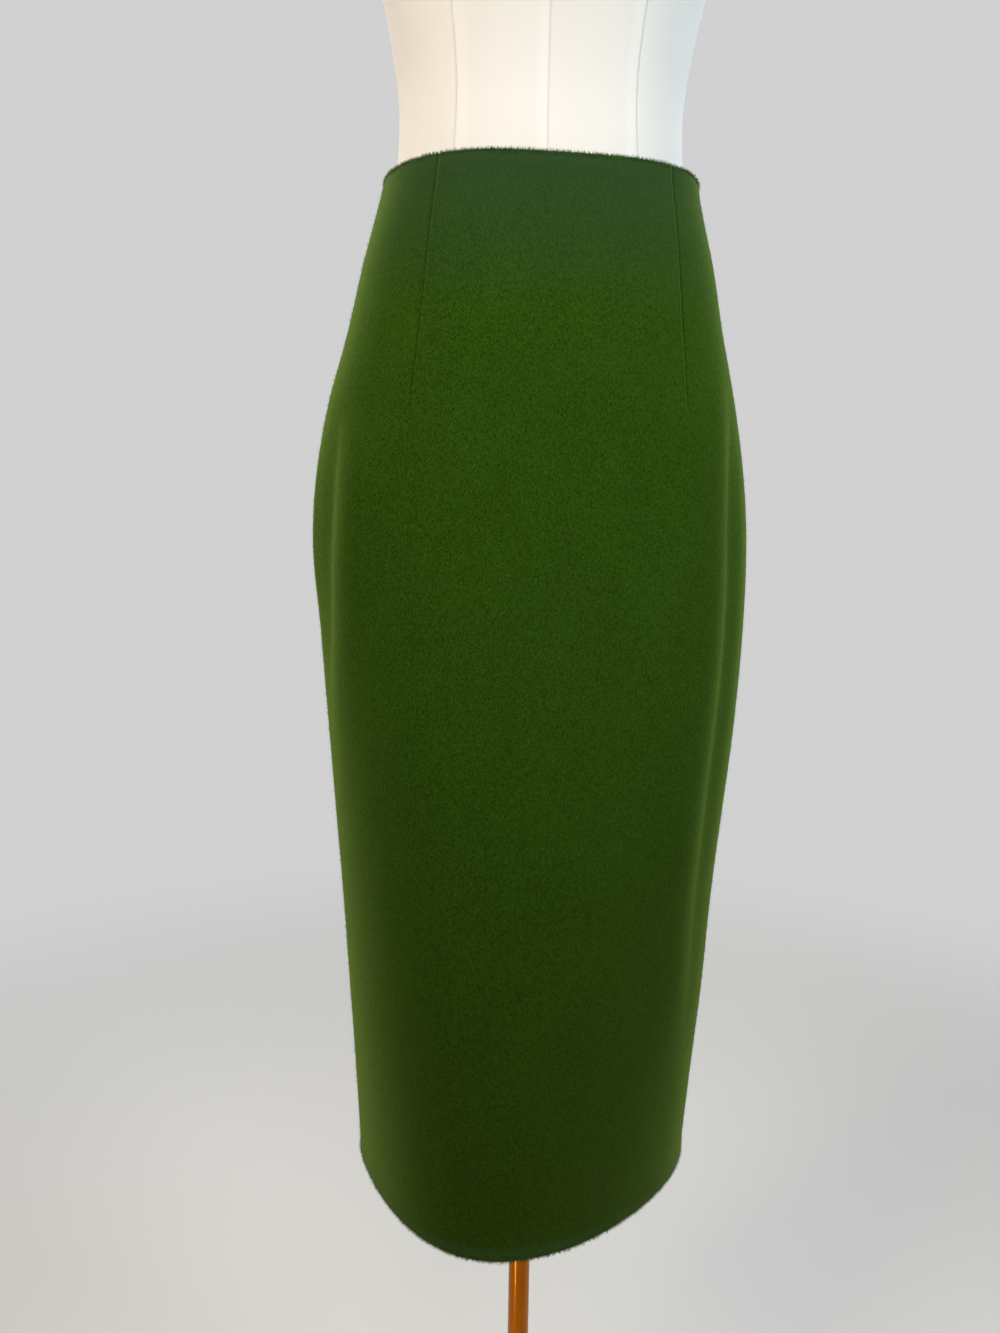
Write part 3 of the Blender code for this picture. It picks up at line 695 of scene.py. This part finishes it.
def mark(tree, label):
    node = tree.nodes.new("ShaderNodeAttribute")
    node.attribute_name = label
    return node.outputs["Fac"]


def felted_nap_group():
    """Felted cloth: a fine grain of fibres, small flecks and slow patches, and their height."""
    group, given, put = new_group(
        "felted_nap", [("Fibre Scale", 1500.0), ("Fleck Scale", 620.0), ("Patch Scale", 26.0),
                       ("Grain", 3.1), ("Flecking", 0.85), ("Patching", 0.24)],
        ["Tone", "Height"])
    coord = object_place(group)
    # fibres are brushed down the skirt, so their noise is drawn out along Z
    fibre = noise_node(group, coord, given.outputs["Fibre Scale"], 2.0, 0.6, (1, 1, 0.42))
    fleck = noise_node(group, coord, given.outputs["Fleck Scale"], 2.0, 0.6, (1, 1, 0.55))
    patch = noise_node(group, coord, given.outputs["Patch Scale"], 2.0, 0.5, (1, 1, 0.6))
    tone = 0.5
    for value, strength in ((fibre, "Grain"), (fleck, "Flecking"), (patch, "Patching")):
        tone = math_node(group, "MULTIPLY_ADD", math_node(group, "SUBTRACT", value, 0.5),
                         given.outputs[strength], tone)
    group.links.new(math_node(group, "MAXIMUM", tone, 0.0), put.inputs["Tone"])
    height = math_node(group, "MULTIPLY_ADD", fleck, 0.9, math_node(group, "MULTIPLY", fibre, 0.5))
    group.links.new(height, put.inputs["Height"])
    return group


# ------------------------ materials
def material(name, roughness, specular, metallic=0.0):
    made = bpy.data.materials.new(name)
    made.use_nodes = True
    shader = made.node_tree.nodes["Principled BSDF"]
    shader.inputs["Roughness"].default_value = roughness
    shader.inputs["Specular IOR Level"].default_value = specular
    shader.inputs["Metallic"].default_value = metallic
    return made, made.node_tree, shader


def add_group(tree, group, **values):
    node = tree.nodes.new("ShaderNodeGroup")
    node.node_tree = group
    for label, value in values.items():
        node.inputs[label.replace("_", " ")].default_value = value
    return node


def bump_to(tree, shader, height, strength, distance):
    node = tree.nodes.new("ShaderNodeBump")
    node.inputs["Strength"].default_value = strength
    node.inputs["Distance"].default_value = distance
    tree.links.new(height, node.inputs["Height"])
    tree.links.new(node.outputs[0], shader.inputs["Normal"])


def green_wool(nap):
    """Felted double cloth: deep green, lighter and yellower where its nap is seen edge on."""
    made, tree, shader = material("green_wool", 0.95, 0.01)
    felt = add_group(tree, nap)
    colour = mix_colour(tree, felt.outputs["Tone"], (0.0082, 0.0305, 0.0001),
                        (0.0346, 0.0930, 0.0060))
    height = tree.nodes.new("ShaderNodeSeparateXYZ")
    tree.links.new(object_place(tree), height.inputs[0])
    # painted cool sheen under the waist edge: a cooler, greyer green, strongest at the edge
    top = HEM_Z + LENGTH
    waist = ramp_node(tree, height.outputs["Z"], top - 0.11, top - 0.005, 0.0, 0.60)
    colour = mix_colour(tree, waist, colour, (0.0240, 0.0530, 0.0270))
    # painted shade: darker and yellower towards the hem, where less light reaches and what comes
    # is warmer
    low = ramp_node(tree, height.outputs["Z"], HEM_Z + 0.42, HEM_Z)
    low_shade = mix_colour(tree, 1.0, colour, (0.82, 0.65, 0.28), "MULTIPLY")
    colour = mix_colour(tree, low, colour, low_shade)
    # painted highlight along the turned hem and waist edges: a lighter, bluish green
    colour = mix_colour(tree, math_node(tree, "MULTIPLY", mark(tree, "edge_highlight"), 0.5), colour,
                        (0.0330, 0.0720, 0.0260))
    # painted shade in the dart and seam grooves: a darker green line, uneven along its length
    uneven = ramp_node(tree, noise_node(tree, object_place(tree), 90.0), 0.3, 0.75, 0.10, 0.55)
    colour = mix_colour(tree, math_node(tree, "MULTIPLY", mark(tree, "line"), uneven), colour,
                        (0.0060, 0.0170, 0.0010))
    tree.links.new(colour, shader.inputs["Base Color"])
    shader.inputs["Sheen Weight"].default_value = 0.35
    shader.inputs["Sheen Roughness"].default_value = 0.48
    shader.inputs["Sheen Tint"].default_value = (0.66, 1.0, 0.21, 1)
    bump_to(tree, shader, felt.outputs["Height"], 0.45, 0.0010)
    return made


def fibre_wool(name, dark, light):
    """Loose fibres that stand off the cloth, some darker and some lighter."""
    made, tree, shader = material(name, 0.9, 0.05)
    strand = noise_node(tree, object_place(tree), 1100.0, 1.0)
    colour = mix_colour(tree, ramp_node(tree, strand, 0.35, 0.68), dark, light)
    tree.links.new(colour, shader.inputs["Base Color"])
    return made


def form_cover(nap):
    """Close off-white jersey, whiter over the seam edges turned in under it."""
    made, tree, shader = material("form_cover", 0.85, 0.20)
    cloth = add_group(tree, nap, Fibre_Scale=2200.0, Fleck_Scale=500.0, Patch_Scale=14.0,
                      Grain=0.8, Flecking=0.5, Patching=1.2)
    colour = mix_colour(tree, cloth.outputs["Tone"], (0.850, 0.825, 0.795),
                        (0.905, 0.885, 0.860))
    colour = mix_colour(tree, math_node(tree, "MULTIPLY", mark(tree, "allowance"), 0.45), colour,
                        (0.960, 0.945, 0.920))
    # painted shade in the cover's seam grooves: a thin greyish line
    colour = mix_colour(tree, math_node(tree, "MULTIPLY", mark(tree, "line"), 0.42), colour,
                        (0.540, 0.490, 0.460))
    tree.links.new(colour, shader.inputs["Base Color"])
    bump_to(tree, shader, cloth.outputs["Height"], 0.15, 0.0005)
    return made


def brass_plate():
    """Deep gold lacquered brass, drawn lengthwise, with faint handling marks."""
    made, tree, shader = material("brass_plate", 0.3, 0.5, 1.0)
    coord = object_place(tree)
    smear = noise_node(tree, coord, 34.0, 3.0, 0.6)
    drawn = noise_node(tree, coord, 800.0, 1.0, 0.5, (1, 1, 0.02))
    colour = mix_colour(tree, ramp_node(tree, smear, 0.35, 0.7), (0.47, 0.125, 0.004),
                        (0.55, 0.165, 0.010))
    tree.links.new(colour, shader.inputs["Base Color"])
    tree.links.new(math_node(tree, "MULTIPLY_ADD", smear, 0.16, 0.12), shader.inputs["Roughness"])
    bump_to(tree, shader, drawn, 0.05, 0.0002)
    return made


def zip_enamel():
    """Enamel matched to the cloth, rubbed in small spots."""
    made, tree, shader = material("zip_enamel", 0.35, 0.5)
    wear = noise_node(tree, object_place(tree), 900.0, 3.0)
    colour = mix_colour(tree, ramp_node(tree, wear, 0.45, 0.75), (0.020, 0.060, 0.006),
                        (0.040, 0.095, 0.016))
    tree.links.new(colour, shader.inputs["Base Color"])
    tree.links.new(math_node(tree, "MULTIPLY_ADD", wear, 0.25, 0.22), shader.inputs["Roughness"])
    shader.inputs["Coat Weight"].default_value = 0.4
    return made


def zip_tape_weave():
    """Close woven tape: fine ribs along it and picks across."""
    made, tree, shader = material("zip_tape_weave", 0.85, 0.2)
    weave = noise_node(tree, object_place(tree), 2200.0, 1.0, 0.5, (1, 1, 0.3))
    colour = mix_colour(tree, weave, (0.010, 0.032, 0.002), (0.028, 0.070, 0.007))
    tree.links.new(colour, shader.inputs["Base Color"])
    bump_to(tree, shader, weave, 0.3, 0.0004)
    return made


# ------------------------ camera, light and stage
CAMERA_AZ = radians(-4.0)
CAMERA_REACH = 0.835
CAMERA_HEIGHT = HEM_Z + 0.5472
CAMERA_PITCH = radians(8.0)
CAMERA_YAW = 0.0309
CAMERA_ROLL = 0.0150
FOCAL_PIXELS = 1001.0
PHOTO_HEIGHT = 1333.0
SENSOR = 36.0

# name, place, what it points at, size, power, colour, spread in degrees; the last is seen
# only as the highlight down the pole
LIGHTS = (
    ("key_left", (-1.35, -1.25, 2.20), (0, 0, 1.38), (0.8, 1.0), 9.0, (1.0, 0.85, 0.66), 95),
    ("fill_right", (1.6, -0.9, 2.00), (0, 0, 1.35), (0.8, 1.2), 6.6, (0.77, 0.93, 1.0), 95),
    ("high_front", (0.1, -1.55, 2.25), (0, 0, 1.45), (1.1, 1.0), 4.5, (1.0, 0.98, 0.95), 88),
    ("back_left", (-1.3, 1.4, 2.3), (0, 0, 1.2), (1.0, 1.0), 12.0, (1.0, 0.94, 0.86), 120),
    ("back_right", (1.5, 1.3, 2.0), (0, 0, 1.2), (1.0, 1.2), 9.0, (0.90, 0.95, 1.0), 120),
    ("pole_glint", (-0.22, -0.24, 0.15), (0, 0, 0.15), (0.030, 0.22), 0.30,
     (1.0, 0.95, 0.88), 180),
)
ROOM_COLOUR, ROOM_STRENGTH = (0.93, 0.97, 1.0, 1), 0.07
BACKDROP = (0.630, 0.635, 0.630, 1)
BRASS_MIRRORS = 0.30            # share of the backdrop in reflections
FLOOR_RADIUS = 3.0
FLOOR_FADE = (0.3, 2.2)         # the floor thins out between these distances


def make_camera():
    data = bpy.data.cameras.new("photo_camera")
    data.sensor_width = SENSOR
    data.lens = FOCAL_PIXELS / PHOTO_HEIGHT * data.sensor_width
    data.clip_start, data.clip_end = 0.05, 50.0
    camera = link(bpy.data.objects.new("photo_camera", data))
    place = Vector((CAMERA_REACH * sin(CAMERA_AZ), -CAMERA_REACH * cos(CAMERA_AZ), CAMERA_HEIGHT))
    heading = CAMERA_AZ + CAMERA_YAW
    ahead = Vector((-sin(heading) * cos(CAMERA_PITCH), cos(heading) * cos(CAMERA_PITCH),
                    -sin(CAMERA_PITCH)))
    right = Vector((cos(heading), sin(heading), 0.0))
    up = right.cross(ahead)
    rolled_right = right * cos(CAMERA_ROLL) + up * sin(CAMERA_ROLL)
    rolled_up = up * cos(CAMERA_ROLL) - right * sin(CAMERA_ROLL)
    turned_to = Matrix((rolled_right, rolled_up, -ahead)).transposed().to_4x4()
    camera.matrix_world = Matrix.Translation(place) @ turned_to
    bpy.context.scene.camera = camera


def area_light(name, place, aim, size, power, colour, spread):
    data = bpy.data.lights.new(name, "AREA")
    data.shape = "RECTANGLE"
    data.spread = radians(spread)
    data.size, data.size_y = size
    data.energy = power
    data.color = colour
    light = link(bpy.data.objects.new(name, data))
    light.location = place
    light.rotation_euler = (Vector(aim) - Vector(place)).to_track_quat("-Z", "Y").to_euler()
    return light


def make_light():
    world = bpy.data.worlds.new("studio")
    bpy.context.scene.world = world
    world.use_nodes = True
    nodes, join = world.node_tree.nodes, world.node_tree.links.new
    room = nodes["Background"]
    room.inputs["Color"].default_value = ROOM_COLOUR
    room.inputs["Strength"].default_value = ROOM_STRENGTH
    backdrop = nodes.new("ShaderNodeBackground")
    backdrop.inputs["Color"].default_value = BACKDROP
    seen = nodes.new("ShaderNodeMixShader")
    ray = nodes.new("ShaderNodeLightPath").outputs
    share = math_node(world.node_tree, "MULTIPLY_ADD", ray["Is Glossy Ray"], BRASS_MIRRORS,
                      ray["Is Camera Ray"])
    join(share, seen.inputs[0])
    join(room.outputs[0], seen.inputs[1])
    join(backdrop.outputs[0], seen.inputs[2])
    join(seen.outputs[0], nodes["World Output"].inputs["Surface"])
    for row in LIGHTS:
        light = area_light(*row)
    light.visible_camera = light.visible_diffuse = False
    bpy.context.scene.view_settings.view_transform = "Standard"


def studio_floor():
    """Pale floor that thins out into the plain background away from the form."""
    made, tree, shader = material("studio_floor", 0.9, 0.2)
    coord = object_place(tree)
    tone = noise_node(tree, coord, 1.5, 2.0)
    colour = mix_colour(tree, tone, (0.760, 0.755, 0.745), (0.800, 0.795, 0.785))
    tree.links.new(colour, shader.inputs["Base Color"])
    reach = tree.nodes.new("ShaderNodeVectorMath")
    reach.operation = "LENGTH"
    tree.links.new(coord, reach.inputs[0])
    solid = ramp_node(tree, reach.outputs["Value"], *FLOOR_FADE, 1.0, 0.0, "SMOOTHERSTEP")
    tree.links.new(solid, shader.inputs["Alpha"])
    # lifts the floor to the backdrop's paleness without lighting the skirt from below
    seen = tree.nodes.new("ShaderNodeLightPath").outputs["Is Camera Ray"]
    lift = math_node(tree, "MULTIPLY", seen, 0.15)
    shader.inputs["Emission Color"].default_value = (1.0, 0.99, 0.97, 1)
    tree.links.new(lift, shader.inputs["Emission Strength"])
    return made


def make_stage(finish):
    bpy.ops.mesh.primitive_circle_add(vertices=96, radius=FLOOR_RADIUS, fill_type="NGON")
    floor = bpy.context.object
    floor.name = "studio_floor"
    floor.data.materials.append(finish)


# ------------------------ the pieces
def settle(piece, slot, *nodes, body="skirt_on_form"):
    """Joins a finished piece to its body and hides the nodes it stands for; slot is not used."""
    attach(piece, body)
    if nodes:
        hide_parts(*nodes)
    return piece


def make_skirt(wool, nap_fibres, edge_fibres):
    rises = panel_rises()
    half = {panel: half_shares(panel) for panel in HALF_COLUMNS}
    columns = {
        "front_panel": [np.concatenate([half_places("front", -1, r, half["front"])[::-1],
                                        half_places("front", 1, r, half["front"])[1:]])
                        for r in rises],
        "back_left_panel": [half_places("back", -1, r, half["back"]) for r in rises],
        "back_right_panel": [half_places("back", 1, r, half["back"])[::-1] for r in rises],
    }
    nodes = {"front_panel": "skirt_front", "back_left_panel": "skirt_back_left",
             "back_right_panel": "skirt_back_right"}
    tree = loose_fibre_tree()
    for seed, (name, rows) in enumerate(columns.items()):
        panel = settle(cloth_panel(name, rises, rows, wool), "wool", nodes[name])
        nap = settle(grow(name + "_nap", panel, tree, **NAP, Seed=NAP_SEED + seed,
                          Material=nap_fibres), "wool")
        fuzz = settle(grow(name + "_edge_fuzz", panel, tree, **EDGE_FUZZ, Seed=FUZZ_SEED + seed,
                           Material=edge_fibres), "wool")


def form_places():
    """Columns round the form: even ones, and close ones at each seam."""
    places = list(np.arange(-2, 2, 4 / (120)))
    for seam in FORM_SEAMS:
        places += [(seam + off / FORM_QUARTER + 2) % 4 - 2 for off in SEAM_COLUMNS]
    return np.unique(np.round(places, 5))


def make_form(cover):
    places = form_places()
    heights = [0.80, 0.8012, 0.8030, 0.8055, 0.810]
    heights += [*np.arange(0.825, 1.19, 0.015), *np.arange(1.19, FORM_TOP, 0.0075), FORM_TOP]
    points, line, allowance = [], [], []
    for height in heights:
        row = sample(FORM_RINGS, height)
        plan, lengths = on_ring(row[1:6], places)
        ahead, _ = on_ring(row[1:6], (places + 2.01) % 4 - 2)
        before, _ = on_ring(row[1:6], (places + 1.99) % 4 - 2)
        out = np.stack([(ahead - before)[:, 1], -(ahead - before)[:, 0]], 1)
        out /= np.linalg.norm(out, axis=1)[:, None]
        groove, raised = np.zeros(len(places)), np.zeros(len(places))
        for seam in FORM_SEAMS:
            off = ((places - seam + 2) % 4 - 2) * lengths
            # the turned-in edges lie towards the middle panel
            inward = off * (-1 if seam > 0 else 1) if seam else -off
            groove = np.maximum(groove, bump(off, FORM_SEAM_WIDTH))
            raised = np.maximum(raised, fade(inward, 0.0002, 0.0010)
                                * (1 - fade(inward, ALLOWANCE - 0.004, ALLOWANCE + 0.001)))
        stand = raised * ALLOWANCE_RAISED - groove * FORM_SEAM_DEPTH
        plan = plan + out * stand[:, None]
        points += [(x, y, height) for x, y in plan]
        line.append(groove)
        allowance.append(raised * (1 - groove))
    faces = ring_faces(len(heights), len(places))
    form = mesh_object("form_body", points, faces, cover, smooth_angle=60,
                       marks={"line": np.array(line), "allowance": np.array(allowance)})
    return settle(form, "form_cover", "form_torso")


def make_stand(brass):
    neck = FORM_RINGS[-1]
    cap = [(0.0, 0.0003), (0.0010, 0.0018), (0.0030, 0.0025), (0.0060, 0.0025), (0.0085, 0.0018),
           (0.0105, 0.0002), (0.0122, -0.0035), (0.0134, -0.0085), (0.0144, -0.0160),
           (0.0152, -0.0250), (0.0157, -0.0340), (0.0160, -0.0440)]
    steps = 96
    places = np.arange(-2, 2, 4 / steps)
    points = []
    for up, grown in cap:
        plan, _ = on_ring((neck[1] + grown, neck[2] + grown, neck[3] + grown, 2.0, 2.0), places)
        points += [(x, y, FORM_TOP + GAP + up) for x, y in plan]
    settle(mesh_object("neck_cap", points, ring_faces(len(cap), steps), brass), "brass",
           "form_neck_cap")

    rim = BASE_RADIUS - 0.0032
    base = [(0.0, 0.0), (rim - 0.0030, 0.0)]
    base += [(rim + 0.0032 * cos(a), 0.0034 + 0.0033 * sin(a)) for a in np.linspace(-1.2, 1.25, 9)]
    base += [(0.150, 0.0079), (0.120, 0.0085), (0.085, 0.0092), (0.045, BASE_TOP), (0.0, BASE_TOP)]
    settle(turned("base_plate", base, 128, brass), "brass", "stand_base")
    low, high = BASE_TOP + GAP, FORM_BOTTOM - 0.006 - 2 * GAP
    pole = [(0.0, low), (POLE_RADIUS, low), (POLE_RADIUS, low + 0.2), (POLE_RADIUS, high - 0.2),
            (POLE_RADIUS, high), (0.0, high)]
    settle(turned("pole", pole, 64, brass), "brass", "stand_pole")
    inside = POLE_RADIUS + GAP
    top = BASE_TOP + 0.040
    socket = [(inside, top), (0.0150, top), (0.0165, top - 0.002), (0.0165, low + 0.010),
              (0.0260, low + 0.003), (0.0260, low), (inside, low)]
    settle(turned("pole_socket", eased(socket), 64, brass, closed=True), "brass", "stand_socket")
    under = FORM_BOTTOM - 0.006
    flange = [(0.0, FORM_BOTTOM - GAP), (0.045, FORM_BOTTOM - GAP), (0.045, under + 0.002),
              (0.043, under), (0.0, under)]
    settle(turned("form_plate", eased(flange), 64, brass), "brass", "form_flange")
    collar = [(inside, under - 0.0005), (0.0160, under - 0.0005), (0.0160, under - 0.028),
              (0.0145, under - 0.030), (inside, under - 0.030)]
    settle(turned("pole_collar", eased(collar), 64, brass, closed=True), "brass", "form_collar")


def zip_frame():
    """The zip's own frame: X across the seam, Y out of the cloth, Z up, from its hinge."""
    joint = frame["record"]["behaviour"]["joints"][0]
    across = Vector(joint["axis"]).normalized()
    _, normals = cloth_grid([LENGTH - SLIDER_DROP], [np.array([2.0])])
    out = Vector(normals[0][0])
    out = (out - across * out.dot(across)).normalized()
    upward = across.cross(out)
    made = Matrix((across, out, upward)).transposed().to_4x4()
    made.translation = Vector(joint["pos_m"]) - out * PIVOT_OUT
    return made


def rounded_box(width, height, radius, centre=(0.0, 0.0), steps=5):
    """Corner-rounded rectangle as a loop of points."""
    loop = []
    for corner, (sx, sy) in enumerate(((1, 1), (-1, 1), (-1, -1), (1, -1))):
        cx = centre[0] + sx * (width / 2 - radius)
        cy = centre[1] + sy * (height / 2 - radius)
        loop += [(cx + radius * cos((corner + i / steps) * pi / 2),
                  cy + radius * sin((corner + i / steps) * pi / 2)) for i in range(steps + 1)]
    return loop


def make_zip(enamel, weave):
    place = zip_frame()
    upright = Matrix(((1, 0, 0, 0), (0, 0, -1, 0), (0, 1, 0, 0), (0, 0, 0, 1)))
    across = Matrix(((0, 0, 1, 0), (1, 0, 0, 0), (0, 1, 0, 0), (0, 0, 0, 1)))
    # the slider: its plate on the seam and the arch that holds the pull
    shield = [(x, y + (0.0009 if y < 0 else 0) * abs(x) / 0.0026)
              for x, y in rounded_box(0.0052, 0.0090, 0.0012)]
    plate = flat_piece("zip_plate", [shield], 0.0009, 0.00025,
                       place @ Matrix.Translation((0, GAP + 0.00045, 0)) @ upright, enamel)
    depth = 0.0034
    arch = flat_piece("zip_slider_body",
                      [rounded_box(depth, 0.0044, 0.0009, (0.0009 + depth / 2, 0.0)),
                       rounded_box(depth - 0.0018, 0.0024, 0.0004, (0.0011 + depth / 2, 0.0))],
                      0.0015, 0.0002, place @ across, enamel)
    both = bmesh.new()
    for mesh in (arch.data, plate.data):
        both.from_mesh(mesh)
    both.to_mesh(arch.data)
    both.free()
    smooth(arch.data)
    bpy.data.objects.remove(plate)
    settle(arch, "zip_enamel", "zip_slider")

    # the pull: a drop-shaped tab on its pivot
    head, foot, reach = 0.0024, 0.0030, 0.0215
    low = -reach + foot + 0.0005
    side = [(head, -0.0005), (head, -0.0045), (0.0018, -0.0062), (0.0016, -0.0080)]
    side += [(foot * sin(a), low - foot * cos(a)) for a in np.linspace(pi * 0.62, 0, 14)]
    corner = [(head - 0.0010 + 0.0010 * sin(a), -0.0005 + 0.0010 * cos(a))
              for a in np.linspace(0, pi / 2, 6)]
    right = corner[:-1] + side
    outline = right + [(-x, y) for x, y in right[::-1] if x > 1e-6]
    slot = rounded_box(0.0022, 0.0032, 0.0004, (0.0, -0.0021))
    pull = flat_piece("zip_pull_tab", [outline, slot], 0.0010, 0.00022,
                      place @ Matrix.Translation((0, PIVOT_OUT, 0)) @ upright, enamel)
    settle(pull, "zip_enamel", "zip_pull", body="zip_pull")

    # the tape on the inside of the two back panels
    top = LENGTH - 0.004
    rises = np.linspace(top - TAPE_LENGTH, top, 60)
    offsets = np.linspace(-TAPE_WIDTH / 2, TAPE_WIDTH / 2, 25)
    rows = []
    for rise in rises:
        _, length = ring_points(rise, np.array([1.5]))
        rows.append(2 + offsets / length[0])
    points, normals = cloth_grid(rises, rows)
    lift = CLOTH + TAPE_LIFT
    section, faces = wall_between(points - normals * lift, points - normals * (lift + TAPE_THICK))
    tape = settle(mesh_object("zip_tape_strip", section, faces, weave), "zip_tape", "zip_tape")


def main():
    make_camera()
    make_light()
    nap = felted_nap_group()
    make_skirt(green_wool(nap),
               fibre_wool("wool_nap_fibres", (0.022, 0.062, 0.004), (0.070, 0.145, 0.020)),
               fibre_wool("wool_edge_fibres", (0.030, 0.070, 0.012), (0.110, 0.190, 0.050)))
    make_form(form_cover(nap))
    make_stand(brass_plate())
    make_zip(zip_enamel(), zip_tape_weave())
    make_stage(studio_floor())


main()
